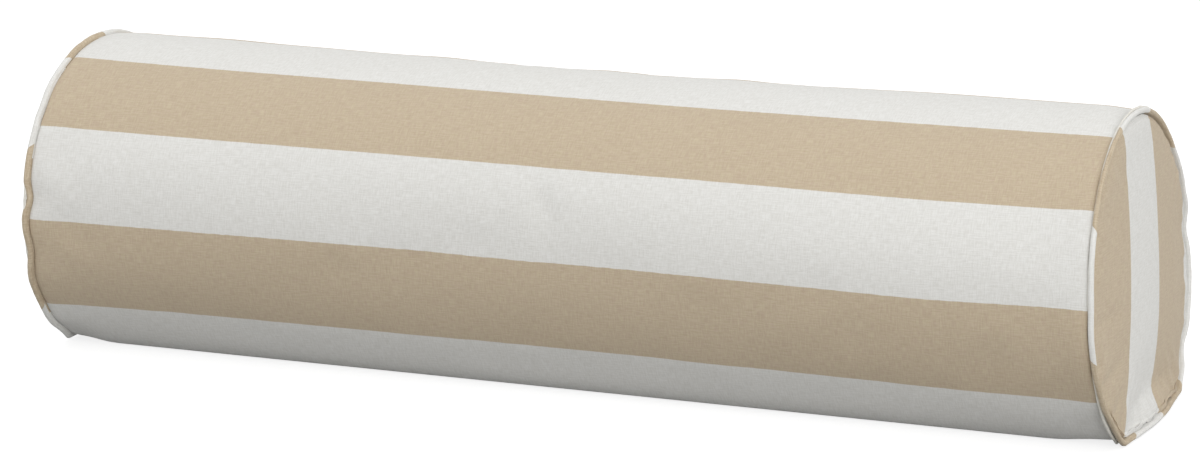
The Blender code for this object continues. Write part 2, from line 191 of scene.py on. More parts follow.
def inEdit(piece, *steps):
    activate(piece)
    bpy.ops.object.mode_set(mode="EDIT")
    bpy.ops.mesh.select_all(action="SELECT")
    for step in steps:
        step()
    bpy.ops.object.mode_set(mode="OBJECT")


def applyModifier(piece, modifier):
    activate(piece)
    bpy.ops.object.modifier_apply(modifier=modifier.name)


def subdivideOnce(piece):
    modifier = piece.modifiers.new("rounding", "SUBSURF")
    modifier.levels = modifier.render_levels = 1
    applyModifier(piece, modifier)


def giveThickness(piece, thickness):
    modifier = piece.modifiers.new("cloth", "SOLIDIFY")
    modifier.thickness = thickness
    modifier.offset = -1
    applyModifier(piece, modifier)


def smoothShade(piece, degrees=50):
    activate(piece)
    bpy.ops.object.shade_smooth_by_angle(angle=math.radians(degrees))


def settle(piece):
    activate(piece)
    bpy.ops.object.transform_apply(location=True, rotation=True, scale=True)


def writeUv(piece, place):
    mesh = piece.data
    layer = mesh.uv_layers.get("cloth") or mesh.uv_layers.new(name="cloth")
    for other in list(mesh.uv_layers):
        if other.name != "cloth":
            mesh.uv_layers.remove(other)
    layer = mesh.uv_layers["cloth"]
    for polygon in mesh.polygons:
        for loop in polygon.loop_indices:
            layer.data[loop].uv = place(mesh.loops[loop].vertex_index, polygon)


filling = {"frames": 20, "mass": 0.2, "tension": 40.0, "bending": 0.6, "quality": 5}


def fillCloth(piece, held, pressure, slack, cap):
    rest = [v.co.copy() for v in piece.data.vertices]
    group = piece.vertex_groups.new(name="held")
    group.add(held, 1.0, "REPLACE")
    cloth = piece.modifiers.new("filling", "CLOTH")
    settings = cloth.settings
    settings.quality = filling["quality"]
    settings.mass = filling["mass"]
    settings.tension_stiffness = settings.compression_stiffness = filling["tension"]
    settings.bending_stiffness = filling["bending"]
    settings.use_pressure = True
    settings.uniform_pressure_force = pressure
    settings.vertex_group_mass = "held"
    settings.effector_weights.gravity = 0
    settings.shrink_min = -slack
    cloth.collision_settings.use_collision = False
    cloth.collision_settings.use_self_collision = False
    cloth.point_cache.frame_start = 1
    cloth.point_cache.frame_end = filling["frames"]
    for step in range(1, filling["frames"] + 1):
        bpy.context.scene.frame_set(step)
    applyModifier(piece, cloth)
    furthest = 0.0
    for vertex, start in zip(piece.data.vertices, rest):
        move = vertex.co - start
        furthest = max(furthest, move.length)
        if move.length > cap:
            vertex.co = start + move * (cap / move.length)
    piece.vertex_groups.clear()
    bpy.context.scene.frame_set(1)
    print("  furthest move", round(furthest * 1000, 2), "mm")


def newMaterial(name):
    material = bpy.data.materials.new(name)
    material.use_nodes = True
    tree = material.node_tree
    return material, tree, tree.nodes["Principled BSDF"]


def node(tree, kind, **values):
    made = tree.nodes.new(kind)
    for key, value in values.items():
        setattr(made, key, value)
    return made


def feed(tree, target, *sources):
    for index, source in enumerate(sources):
        if source is None:
            continue
        if isinstance(source, bpy.types.NodeSocket):
            tree.links.new(source, target.inputs[index])
        else:
            target.inputs[index].default_value = source
    return target.outputs[0]


def maths(tree, operation, *sources):
    return feed(tree, node(tree, "ShaderNodeMath", operation=operation), *sources)


def mixColours(tree, share, first, second, blendType="MIX"):
    mix = node(tree, "ShaderNodeMix", data_type="RGBA", blend_type=blendType)
    for socket, value in ((mix.inputs[0], share), (mix.inputs[6], first), (mix.inputs[7], second)):
        if isinstance(value, bpy.types.NodeSocket):
            tree.links.new(value, socket)
        else:
            socket.default_value = value if socket == mix.inputs[0] else (*value, 1)
    return mix.outputs[2]


def stretchedNoise(tree, coordinates, scale, detail=2.0, roughness=0.5):
    mapping = node(tree, "ShaderNodeMapping")
    tree.links.new(coordinates, mapping.inputs["Vector"])
    mapping.inputs["Scale"].default_value = scale
    texture = node(tree, "ShaderNodeTexNoise")
    texture.inputs["Scale"].default_value = 1.0
    texture.inputs["Detail"].default_value = detail
    texture.inputs["Roughness"].default_value = roughness
    tree.links.new(mapping.outputs["Vector"], texture.inputs["Vector"])
    return texture.outputs["Fac"]


def spread(tree, value, low, high, newLow, newHigh):
    ranged = node(tree, "ShaderNodeMapRange")
    return feed(tree, ranged, value, low, high, newLow, newHigh)


canvas = {
    "sandDark": (0.440, 0.345, 0.235),
    "sandLight": (0.610, 0.520, 0.385),
    "sandRose": (0.590, 0.465, 0.365),
    "sandStraw": (0.560, 0.480, 0.325),
    "whiteDark": (0.700, 0.690, 0.655),
    "whiteLight": (0.800, 0.795, 0.770),
    "hueShare": 0.45,                   # how much of the rose and straw shows in the sand
    "hueRange": (0.35, 0.65),
    "yarnRange": (0.36, 0.64),          # the noise values that give the dark and the light yarn
    "yarnDetail": 1.5,
    "warpScale": (150, 1400, 1),
    "weftScale": (1300, 170, 1),
    "cloudScale": (22, 30, 1),
    "cloudShare": 0.08,
    "stripeFray": 0.0006,               # how far a stripe's edge strays from thread to thread
    "threadPitch": 0.00078,
    "weftPitch": 0.00092,
    "threadLead": 0.35,                 # how much the one set of threads stands over the other
    "weaveShare": 0.3,
    "bumpStrength": 0.55,
    "bumpHeight": 0.00022,
    # painted shade in the weave's hollows and a little painted light on its crests, as a range of
    # brightness
    "weaveShade": (0.93, 1.03),
    # painted shade in the end seams: where it begins short of the seam, how far it grows, and how dark it
    # gets
    "seamShadeStart": 0.0021,
    "seamShadeWidth": 0.0008,
    "seamShade": 0.5,
    "roughness": 0.92,
    "sheen": 0.12,
    "specular": 0.25,
}


def clothPlace(tree):
    uv = node(tree, "ShaderNodeUVMap", uv_map="cloth").outputs["UV"]
    split = node(tree, "ShaderNodeSeparateXYZ")
    tree.links.new(uv, split.inputs[0])
    return uv, split.outputs[0], split.outputs[1]


def mixValues(tree, first, second, share=0.5):
    firstPart = maths(tree, "MULTIPLY", first, 1 - share)
    return maths(tree, "ADD", firstPart, maths(tree, "MULTIPLY", second, share))


def threadWave(tree, place, turns):
    return maths(tree, "SINE", maths(tree, "MULTIPLY", place, turns))


def raiseSurface(tree, shader, height, strength, distance):
    bumpNode = node(tree, "ShaderNodeBump")
    bumpNode.inputs["Strength"].default_value = strength
    bumpNode.inputs["Distance"].default_value = distance
    tree.links.new(height, bumpNode.inputs["Height"])
    tree.links.new(bumpNode.outputs["Normal"], shader.inputs["Normal"])


def finishCanvas(tree, shader, colour, height):
    tree.links.new(colour, shader.inputs["Base Color"])
    raiseSurface(tree, shader, height, canvas["bumpStrength"], canvas["bumpHeight"])
    shader.inputs["Roughness"].default_value = canvas["roughness"]
    shader.inputs["Sheen Weight"].default_value = canvas["sheen"]
    shader.inputs["Specular IOR Level"].default_value = canvas["specular"]


def canvasMaterial(name, stripes):
    material, tree, shader = newMaterial(name)
    uv, along, across = clothPlace(tree)
    # yarns: streaks along the warp, across the weft, and slow cloudy variation
    warp = stretchedNoise(tree, uv, canvas["warpScale"], detail=canvas["yarnDetail"])
    weft = stretchedNoise(tree, uv, canvas["weftScale"], detail=canvas["yarnDetail"])
    cloud = stretchedNoise(tree, uv, canvas["cloudScale"], detail=3.0, roughness=0.6)
    drift = maths(tree, "MULTIPLY", maths(tree, "SUBTRACT", cloud, 0.5), canvas["cloudShare"])
    yarn = maths(tree, "ADD", mixValues(tree, warp, weft), drift)
    shade = spread(tree, yarn, *canvas["yarnRange"], 0.0, 1.0)
    hueShade = spread(tree, weft, *canvas["hueRange"], 0.0, 1.0)
    hue = mixColours(tree, hueShade, canvas["sandRose"], canvas["sandStraw"])
    plainSand = mixColours(tree, shade, canvas["sandDark"], canvas["sandLight"])
    sand = mixColours(tree, canvas["hueShare"], plainSand, hue)
    white = mixColours(tree, shade, canvas["whiteDark"], canvas["whiteLight"])
    edge = maths(tree, "MULTIPLY", maths(tree, "SUBTRACT", warp, 0.5), canvas["stripeFray"])
    share = stripes(tree, along, maths(tree, "ADD", across, edge))
    colour = mixColours(tree, share, white, sand)
    # plain weave: threads over and under each other
    over = threadWave(tree, across, 2 * math.pi / canvas["threadPitch"])
    under = threadWave(tree, along, 2 * math.pi / canvas["weftPitch"])
    lead = maths(tree, "MULTIPLY", over, canvas["threadLead"])
    weave = maths(tree, "ADD", maths(tree, "MULTIPLY", over, under), lead)
    height = maths(tree, "ADD", maths(tree, "MULTIPLY", weave, canvas["weaveShare"]), yarn)
    # painted shade and light: the weave's hollows are darkened and its crests lightened a little
    weaveShade = spread(tree, weave, -1.0, 1.0, *canvas["weaveShade"])
    # painted shade: the cloth is darkened down in the end seams, where the groove beside the piping lies in
    # shade
    fromMiddle = maths(tree, "ABSOLUTE", along)
    seamLine = bolster["halfLength"] - canvas["seamShadeStart"]
    seamEnd = seamLine + canvas["seamShadeWidth"]
    seamShade = spread(tree, fromMiddle, seamLine, seamEnd, 1.0, canvas["seamShade"])
    # the painted weave shade and the painted seam shade darken the colour together
    grey = greyOf(tree, maths(tree, "MULTIPLY", weaveShade, seamShade))
    finishCanvas(tree, shader, mixColours(tree, 1.0, colour, grey, "MULTIPLY"), height)
    return material


def greyOf(tree, value):
    combine = node(tree, "ShaderNodeCombineColor")
    return feed(tree, combine, value, value, value)


def bodyStripes(tree, along, across):
    fromFirst = maths(tree, "SUBTRACT", across, bolster["stripeStart"])
    pair = maths(tree, "FRACT", maths(tree, "DIVIDE", fromFirst, 2 * bolster["stripe"]))
    return maths(tree, "GREATER_THAN", pair, 0.5)


# the edges of the stripes across each end panel, in metres behind its middle
endStripes = {
    "tiltDegrees": 10.0,
    "right": [-0.045, 0.0145, 0.094],
    "left": [-0.045, 0.0145, 0.090],
}


def panelStripes(side):
    edges = endStripes["right" if side > 0 else "left"]

    def stripes(tree, along, across):
        # u runs front to back and v upwards; the stripes lean back at the top
        shift = maths(tree, "MULTIPLY", across, math.tan(math.radians(endStripes["tiltDegrees"])))
        place = maths(tree, "SUBTRACT", along, shift)
        first = maths(tree, "LESS_THAN", place, edges[0])
        third = maths(tree, "MULTIPLY", maths(tree, "GREATER_THAN", place, edges[1]),
                      maths(tree, "LESS_THAN", place, edges[2]))
        return maths(tree, "MAXIMUM", first, third)
    return stripes


# where sand begins and ends round each piping, in degrees
pipingSand = {
    1: [(30, 72), (106, 141), (232, 269), (297, 348)],
    -1: [(65, 90), (-33, 27), (150, 200)],
}


def pipingStripes(side):
    def stripes(tree, along, across):
        # u is the angle over 360; the strip is cut so that its stripes cross it aslant
        place = maths(tree, "ADD", along, maths(tree, "MULTIPLY", across, pipe["stripeSlant"]))
        turn = maths(tree, "FRACT", place)
        share = None
        for low, high in pipingSand[side]:
            low, high = (low % 360) / 360, (high % 360) / 360
            above = maths(tree, "GREATER_THAN", turn, low)
            under = maths(tree, "LESS_THAN", turn, high)
            joinedUp = maths(tree, "MULTIPLY" if low < high else "MAXIMUM", above, under)
            share = joinedUp if share is None else maths(tree, "MAXIMUM", share, joinedUp)
        return share
    return stripes


# fine grain with a slow cloud under it; a scale is in grains to the metre
plain = {"cloudScale": 0.12, "cloudShare": 0.3, "range": (0.35, 0.65), "bumpStrength": 0.6}


def plainCloth(name, dark, light, scale, bumpHeight, sheen=0.1, roughness=0.95):
    material, tree, shader = newMaterial(name)
    place = node(tree, "ShaderNodeTexCoord").outputs["Object"]
    grain = stretchedNoise(tree, place, scale, detail=4.0, roughness=0.6)
    cloud = stretchedNoise(tree, place, tuple(s * plain["cloudScale"] for s in scale), detail=2.0)
    shade = spread(tree, mixValues(tree, grain, cloud, plain["cloudShare"]), *plain["range"], 0, 1)
    tree.links.new(mixColours(tree, shade, dark, light), shader.inputs["Base Color"])
    raiseSurface(tree, shader, grain, plain["bumpStrength"], bumpHeight)
    shader.inputs["Roughness"].default_value = roughness
    shader.inputs["Sheen Weight"].default_value = sheen
    return material


nickel = {
    "dark": (0.50, 0.49, 0.47),
    "light": (0.72, 0.71, 0.69),
    "brushScale": (400, 4200, 4200),
    "cloudScale": (600, 600, 600),
    "range": (0.3, 0.7),
    "roughness": (0.26, 0.42),
}


def nickelMaterial():
    material, tree, shader = newMaterial("brushedNickel")
    place = node(tree, "ShaderNodeTexCoord").outputs["Object"]
    grain = stretchedNoise(tree, place, nickel["brushScale"], detail=3.0)
    cloud = stretchedNoise(tree, place, nickel["cloudScale"], detail=2.0)
    shade = mixValues(tree, grain, cloud)
    tree.links.new(mixColours(tree, shade, nickel["dark"], nickel["light"]), shader.inputs["Base Color"])
    roughness = spread(tree, shade, *nickel["range"], *nickel["roughness"])
    tree.links.new(roughness, shader.inputs["Roughness"])
    shader.inputs["Metallic"].default_value = 1.0
    return material


shot = {
    "azimuth": 21.33,
    "elevation": 13.15,
    "distance": 2.671,
    "lens": 133.4,
    "lookAt": (-0.0005, 0.0, 0.0834),
    # each lamp's name, place, size and power; all of them face lampAim
    "lamps": [
        ("topLight", (-0.4, -0.5, 2.4), 2.2, 10.0),
        ("frontLight", (2.1, -1.8, 0.5), 1.8, 28.0),
        ("leftLight", (-2.4, -2.0, 0.7), 1.8, 9.0),
        ("endLight", (2.9, 0.5, 1.7), 1.6, 8.0),
    ],
    "lampAim": (0, 0, 0.08),
    "skyStrength": 0.80,
    "floorSize": 60,
    "floorGlow": 0.80,
    "floorColour": (0.35, 0.35, 0.35),
    "floorHeight": -0.0006,
    "bounceColour": (0.30, 0.30, 0.295),
    "bounceHeight": -0.0010,
}


def areaLight(name, place, size, power):
    bpy.ops.object.light_add(type="AREA", location=place)
    lamp = bpy.context.object
    lamp.name = name
    lamp.data.shape = "DISK"
    lamp.data.size = size
    lamp.data.energy = power
    lamp.rotation_euler = (Vector(shot["lampAim"]) - Vector(place)).to_track_quat("-Z", "Y").to_euler()


def setStage():
    # the floor that shows is bright; a dimmer one under it only bounces light back
    for name, height, colour, glow in (
            ("floor", shot["floorHeight"], shot["floorColour"], shot["floorGlow"]),
            ("bounceFloor", shot["bounceHeight"], shot["bounceColour"], 0.0)):
        deselectAll()
        bpy.ops.mesh.primitive_plane_add(size=shot["floorSize"], location=(0, 0, height))
        floor = named(name)
        settle(floor)
        material, _, shader = newMaterial(name + "Paint")
        shader.inputs["Base Color"].default_value = (*colour, 1)
        shader.inputs["Roughness"].default_value = 0.9
        shader.inputs["Specular IOR Level"].default_value = 0.0
        shader.inputs["Emission Color"].default_value = (1, 1, 1, 1)
        shader.inputs["Emission Strength"].default_value = glow
        floor.data.materials.append(material)
        floor.visible_diffuse = floor.visible_shadow = name == "bounceFloor"
        floor.visible_camera = name == "floor"
    world = bpy.data.worlds.new("studio")
    bpy.context.scene.world = world
    world.use_nodes = True
    sky = world.node_tree.nodes["Background"]
    sky.inputs["Color"].default_value = (1, 1, 1, 1)
    sky.inputs["Strength"].default_value = shot["skyStrength"]
    for lamp in shot["lamps"]:
        areaLight(*lamp)
    azimuth, elevation = math.radians(shot["azimuth"]), math.radians(shot["elevation"])
    away = Vector((math.sin(azimuth) * math.cos(elevation), -math.cos(azimuth) * math.cos(elevation),
                   math.sin(elevation)))
    place = Vector((0, 0, bolster["centreHeight"])) + away * shot["distance"]
    aim = Vector(shot["lookAt"]) - place
    bpy.ops.object.camera_add(location=place, rotation=aim.to_track_quat("-Z", "Y").to_euler())
    camera = bpy.context.object
    camera.name = "camera"
    camera.data.lens = shot["lens"]
    camera.data.sensor_width = 36
    camera.data.clip_end = 100
    bpy.context.scene.camera = camera
    bpy.context.scene.view_settings.view_transform = "Standard"
    print("stage set")


# distances round the oval, and the angles they belong to, from the zip round to the zip again
def arcTable(first, last, count=1440):
    angles = [first + (last - first) * k / count for k in range(count + 1)]
    points = [Vector(onSection(angle, 0)) for angle in angles]
    lengths = [0.0]
    for before, after in zip(points, points[1:]):
        lengths.append(lengths[-1] + (after - before).length)
    zero = min(range(len(angles)), key=lambda k: abs(angles[k]))
    return [length - lengths[zero] for length in lengths], angles


arcLengths, arcAngles = arcTable(bolster["zipAngle"] - 360, bolster["zipAngle"])


def interpolate(value, xs, ys):
    low, high = 0, len(xs) - 1
    while high - low > 1:
        middle = (low + high) // 2
        if xs[middle] <= value:
            low = middle
        else:
            high = middle
    share = (value - xs[low]) / (xs[high] - xs[low])
    return ys[low] + (ys[high] - ys[low]) * share


body = {
    "columns": 116,
    "rows": 112,
    "slotHalf": 0.0045,
    "opening": 0.250,
    "slotEnd": 0.006,           # the slot closes over this length at each end
    "slotFade": 0.020,
    "slotHeld": 0.004,
    "slotHeldPast": 0.01,
    "sewnEdge": 0.002,          # past the opening the two edges are sewn together, a little sunk
    "sewnInward": 0.0005,
    "sewnDown": 0.0002,
    "seamReach": (0.004, 0.034),
    "heldColumns": 3,
    "pressure": 0.7,
    "slack": 0.003,
    "cap": 0.0022,
    "heldBelow": 40,
    "freeAbove": 95,
    "zipCalm": (8, 34),
    # (forward of the end's plane, depth) from the seam allowance to the face
    "edge": [(-0.0058, 0.0064), (-0.0038, 0.0046), (-0.0020, 0.0030), (-0.0014, 0.0016), (-0.0016, 0.0007),
             (-0.0025, 0.0001), (-0.0050, -0.0002), (-0.0090, -0.0003)],
    # towards the right end the stripes on the front climb by this much
    "curl": 0.0032,
    "curlFrom": 0.65,
    "curlTop": 62,
    "curlBelow": (60, 120),
}


def bodyColumn(index):
    columns = body["columns"]
    edge = body["edge"]
    fromEnd = min(index, columns - index)
    side = -1 if index < columns / 2 else 1
    if fromEnd < len(edge):
        return side, edge[fromEnd]
    last = -edge[-1][0]
    middle = columns / 2
    share = (fromEnd - len(edge) + 1) / (middle - len(edge) + 1)
    forward = -(last + (bolster["halfLength"] - last) * share)
    return side, (forward, 0.0)


def coverBody():
    deselectAll()
    bpy.ops.mesh.primitive_grid_add(x_subdivisions=body["columns"], y_subdivisions=body["rows"], size=2)
    piece = named("coverBody")
    mesh = piece.data
    flat, held = {}, []
    for vertex in mesh.vertices:
        column = round((vertex.co.x + 1) / 2 * body["columns"])
        row = round((vertex.co.y + 1) / 2 * body["rows"])
        side, (forward, depth) = bodyColumn(column)
        arc = arcLengths[0] + (arcLengths[-1] - arcLengths[0]) * row / body["rows"]
        x = side * (bolster["halfLength"] + forward)
        # the two long edges stand apart along the zip
        fromLow, fromHigh = arc - arcLengths[0], arcLengths[-1] - arc
        near = min(fromLow, fromHigh)
        slotEnd = body["opening"] - body["slotEnd"]
        apart = body["slotHalf"] * (1 - smooth(slotEnd, body["opening"], abs(x)))
        if near < body["slotFade"]:
            arc += (1 if fromLow < fromHigh else -1) * apart * (1 - near / body["slotFade"])
        arc = min(max(arc, arcLengths[0]), arcLengths[-1])
        angle = interpolate(arc, arcLengths, arcAngles)
        nearSeam = 1 - smooth(*body["seamReach"], -forward)
        point = seamPoint(side, forward, depth, angle, nearSeam)
        y, z = onSection(angle, depth + waistDepth(x, angle))
        point = Vector((x, y, z)).lerp(point, nearSeam)
        if abs(x) > body["opening"] and near < body["sewnEdge"]:
            point.y -= body["sewnInward"]
            point.z -= body["sewnDown"]
        vertex.co = point
        curl = body["curl"] * smooth(body["curlFrom"], 1.0, x / bolster["halfLength"])
        curl = curl * (1 - smooth(0, body["curlTop"], angle)) * (1 - smooth(*body["curlBelow"], -angle))
        flat[vertex.index] = (x, arc - curl)
        atEnd = min(column, body["columns"] - column) <= body["heldColumns"]
        atBase = fromDown(angle) < body["heldBelow"]
        atSlot = near < body["slotHeld"] and abs(x) < body["opening"] + body["slotHeldPast"]
        if atEnd or atBase or atSlot:
            held.append(vertex.index)
    writeUv(piece, lambda index, polygon: flat[index])
    heldPlaces = [mesh.vertices[index].co.copy() for index in held]
    inEdit(piece, lambda: bpy.ops.mesh.remove_doubles(threshold=0.00001))
    # merging has renumbered the points, so the held ones are found by their places
    keep = {tuple(round(c, 6) for c in place) for place in heldPlaces}
    heldNow = [v.index for v in mesh.vertices if tuple(round(c, 6) for c in v.co) in keep]
    before = [v.co.copy() for v in mesh.vertices]
    fillCloth(piece, heldNow, body["pressure"], body["slack"], body["cap"])
    # the filling shows less and less towards the base, so the stripes stay straight there
    for vertex, start in zip(mesh.vertices, before):
        angle = angleOf(start)
        fade = smooth(body["heldBelow"], body["freeAbove"], fromDown(angle))
        vertex.co = start.lerp(vertex.co, fade * smooth(*body["zipCalm"], fromZip(angle)))
    subdivideOnce(piece)
    for vertex in mesh.vertices:
        vertex.co = lean(uneven(vertex.co))
    giveThickness(piece, bolster["clothThickness"])
    smoothShade(piece, 60)
    piece.data.materials.append(canvasMaterial("stripedCanvasBody", bodyStripes))
    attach(piece, "pillow")
    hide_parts("cover_body")
    print("cover body made")
    return piece


def angleOf(point):
    up = (point.z - bolster["centreHeight"]) / bolster["halfHeight"]
    return math.degrees(math.atan2(up, -point.y / bolster["halfWidth"]))


# soft lumps of the filling; a top lump is (place along the bolster, width), in metres
lumps = {
    "height": 0.0007,
    "along": 9,
    "across": 14,
    "zipCalm": (4, 14),
    "endCalm": (0.94, 0.995),
    "topHeight": 0.0010,
    "topAngle": 108,
    "topSpread": 12,
    "top": [(-0.255, 0.030), (-0.110, 0.022), (0.0, 0.018), (0.08, 0.018)],
}


def uneven(point):
    angle = angleOf(point)
    calm = (1 - baseShare(angle)) * smooth(*lumps["zipCalm"], fromZip(angle))
    calm *= 1 - smooth(*lumps["endCalm"], abs(point.x) / bolster["halfLength"])
    along, across = lumps["along"], lumps["across"]
    out = lumps["height"] * noise.noise(Vector((point.x * along, point.y * across, point.z * across)))
    onTop = bump(angle, lumps["topAngle"], lumps["topSpread"])
    for middle, width in lumps["top"]:
        out += lumps["topHeight"] * math.exp(-((point.x - middle) / width) ** 2) * onTop
    direction = Vector((0, point.y, point.z - bolster["centreHeight"]))
    return point + direction.normalized() * out * calm


panel = {
    "sides": 168,
    "rings": 24,
    "pressure": 0.35,
    "slack": 0.004,
    "cap": 0.0014,
    "calmRing": (0.30, 0.90),
    "heldRings": 2,
    # gathers beside the seam: height, the ring where they begin and end, how quick, seed
    "pucker": 0.0009,
    "puckerRing": (0.55, 0.97),
    "puckerTurns": 9.5,
    "puckerSeed": 60,
    "fineShare": 0.5,
    "fineTurns": 19,
    "fineSeed": 70,
    # (forward of the end's plane, depth) from the seam allowance to the face
    "edge": [(-0.0040, 0.0050), (-0.0018, 0.0030), (-0.0004, 0.0017), (0.0006, 0.0034)],
    "face": 0.945,              # where the crown begins, as a share of the oval
    "seamRing": (0.75, 0.97),   # where the crown takes up the seam's wandering
}


def pucker(side, angle):
    return ripple(angle, panel["puckerTurns"], panel["puckerSeed"] + side)


def panelPoint(side, share, angle):
    forward = bolster["dome"] * (1 - share ** bolster["domePower"])
    y, z = onSection(angle, 0, share)
    gather = smooth(*panel["puckerRing"], share) * panel["pucker"]
    fine = panel["fineShare"] * ripple(angle, panel["fineTurns"], panel["fineSeed"] + side)
    forward += gather * (pucker(side, angle) + fine)
    return Vector((side * (bolster["halfLength"] + forward), y, z))


def panelShare(point):
    return math.hypot(point.y / bolster["halfWidth"],
                      (point.z - bolster["centreHeight"]) / bolster["halfHeight"])


def coverEnd(side):
    deselectAll()
    bpy.ops.mesh.primitive_circle_add(vertices=panel["sides"], radius=1, fill_type="NGON")
    piece = named("coverEndRight" if side > 0 else "coverEndLeft")
    rings = panel["rings"]
    step = 1 / (rings + 1)

    def insetRings():
        for _ in range(rings):
            bpy.ops.mesh.inset(thickness=step, use_even_offset=False)
        bpy.ops.mesh.select_all(action="SELECT")
        if side > 0:
            bpy.ops.mesh.flip_normals()     # so that both panels face outwards
    inEdit(piece, insetRings)
    mesh = piece.data
    held, edge = [], panel["edge"]
    for vertex in mesh.vertices:
        ring = round((1 - math.hypot(vertex.co.x, vertex.co.y)) / step)
        angle = math.degrees(math.atan2(vertex.co.y, vertex.co.x))
        if ring < len(edge):
            vertex.co = seamPoint(side, *edge[ring], angle)
            if ring == len(edge) - 1:
                vertex.co.x += side * panel["pucker"] * pucker(side, angle)
        else:
            share = panel["face"] * (rings + 1 - ring) / (rings + 1 - len(edge))
            waveForward, _ = seamWave(side, angle)
            vertex.co = panelPoint(side, share, angle)
            vertex.co.x += side * waveForward * smooth(*panel["seamRing"], share)
        if ring <= panel["heldRings"]:
            held.append(vertex.index)
    before = [v.co.copy() for v in mesh.vertices]
    fillCloth(piece, held, panel["pressure"], panel["slack"], panel["cap"])
    # the filling's unevenness shows near the seam, and the middle is one even crown
    for vertex, start in zip(mesh.vertices, before):
        vertex.co = start.lerp(vertex.co, smooth(*panel["calmRing"], panelShare(start)))
    inEdit(piece, lambda: bpy.ops.mesh.subdivide(number_cuts=1))
    for vertex in mesh.vertices:
        vertex.co = lean(vertex.co)
    writeUv(piece, lambda index, polygon: (mesh.vertices[index].co.y,
                                           mesh.vertices[index].co.z - bolster["centreHeight"]))
    giveThickness(piece, bolster["clothThickness"])
    smoothShade(piece, 60)
    piece.data.materials.append(canvasMaterial("stripedCanvas" + ("Right" if side > 0 else "Left"),
                                               panelStripes(side)))
    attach(piece, "pillow")
    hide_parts("cover_end_right" if side > 0 else "cover_end_left")
    print(piece.name, "made")
    return piece


pipe = {
    "aroundRing": 288,
    "aroundCord": 16,
    "ringLength": 0.66,
    "flangeHalf": 0.0004,
    "flangeStart": 1.12,        # in cord radii from the cord's centre
    "flangeCos": (-0.99, -0.85),
    "stripeSlant": 1.4,
    # wrinkles over the cord: height, then (how quick, how far they twist, seed) twice
    "crumple": 0.07,
    "coarse": (26, 1.5, 9),
    "fine": (50, 2, 30),
    "fineShare": 0.6,
    "warpScale": (1250, 220),
    "weftScale": (120, 1100),
    "yarnRange": (0.32, 0.68),
}


def wrinkle(angle, turn, turns, twist, seed):
    return ripple(angle, turns, turn * twist + seed)


def pipingRing(side):
    deselectAll()
    bpy.ops.mesh.primitive_torus_add(major_segments=pipe["aroundRing"], minor_segments=pipe["aroundCord"],
                                     major_radius=1, minor_radius=0.1)
    piece = named("pipingRight" if side > 0 else "pipingLeft")
    mesh = piece.data
    radius = seam["cordRadius"]
    places = {}
    for vertex in mesh.vertices:
        angle = math.degrees(math.atan2(vertex.co.y, vertex.co.x))
        turn = math.atan2(vertex.co.z, math.hypot(vertex.co.x, vertex.co.y) - 1)
        places[vertex.index] = (angle, turn)
        fine = pipe["fineShare"] * wrinkle(angle, turn, *pipe["fine"])
        fold = 1 + pipe["crumple"] * (wrinkle(angle, turn, *pipe["coarse"]) + fine)
        along, across = -radius * fold * math.cos(turn), radius * fold * math.sin(turn)
        # the cord's inner side is drawn out into the flange that is sewn into the seam
        tip, root = pipe["flangeCos"]
        if math.cos(turn) < tip:
            along, across = seam["allowance"], 0.0
        elif math.cos(turn) < root:
            along, across = radius * pipe["flangeStart"], math.copysign(pipe["flangeHalf"], across)
        vertex.co = lean(seamPoint(side, *seamFrame(along, across), angle))
    inEdit(piece, lambda: bpy.ops.mesh.normals_make_consistent(inside=False))

    def place(index, polygon):
        # a face's corners stay together where the ring and the cord close on themselves
        angle, turn = places[index]
        firstAngle, firstTurn = places[polygon.vertices[0]]
        angle = firstAngle + (angle - firstAngle + 180) % 360 - 180
        turn = firstTurn + (turn - firstTurn + math.pi) % (2 * math.pi) - math.pi
        return ((angle + 360) / 360, turn * radius)
    writeUv(piece, place)
    smoothShade(piece, 70)
    piece.data.materials.append(pipingMaterial("pipingCanvas" + ("Right" if side > 0 else "Left"), side))
    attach(piece, "pillow")
    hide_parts("piping_right" if side > 0 else "piping_left")
    print(piece.name, "made")
    return piece


def pipingMaterial(name, side):
    material, tree, shader = newMaterial(name)
    uv, along, across = clothPlace(tree)
    length = pipe["ringLength"]
    warpScale = (pipe["warpScale"][0] * length, pipe["warpScale"][1], 1)
    weftScale = (pipe["weftScale"][0] * length, pipe["weftScale"][1], 1)
    warp = stretchedNoise(tree, uv, warpScale, detail=canvas["yarnDetail"])
    weft = stretchedNoise(tree, uv, weftScale, detail=canvas["yarnDetail"])
    yarn = mixValues(tree, warp, weft)
    shade = spread(tree, yarn, *pipe["yarnRange"], 0.0, 1.0)
    sand = mixColours(tree, shade, canvas["sandDark"], canvas["sandLight"])
    white = mixColours(tree, shade, canvas["whiteDark"], canvas["whiteLight"])
    share = pipingStripes(side)(tree, along, across)
    over = threadWave(tree, along, 2 * math.pi * length / canvas["threadPitch"])
    under = threadWave(tree, across, 2 * math.pi / canvas["weftPitch"])
    weave = maths(tree, "MULTIPLY", maths(tree, "MULTIPLY", over, under), canvas["weaveShare"])
    finishCanvas(tree, shader, mixColours(tree, share, white, sand), maths(tree, "ADD", weave, yarn))
    return material


insertPieces = {
    "caseBody": ("insert_case_body", "lining_cloth"),
    "caseEndLeft": ("insert_case_end_left", "lining_cloth"),
    "caseEndRight": ("insert_case_end_right", "lining_cloth"),
    "fleeceWrap": ("batting_wrap", "fleece"),
    "fleeceEndLeft": ("batting_end_left", "fleece"),
    "fleeceEndRight": ("batting_end_right", "fleece"),
    "foamBolster": ("foam_core", "foam"),
    "cordLeft": ("piping_cord_left", "cotton_cord"),
    "cordRight": ("piping_cord_right", "cotton_cord"),
}


def nodeCopy(name, nodeName):
    piece = bpy.data.objects.new(name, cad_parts[nodeName].data.copy())
    bpy.context.scene.collection.objects.link(piece)
    piece.data.name = name
    piece.data.materials.clear()
    return piece


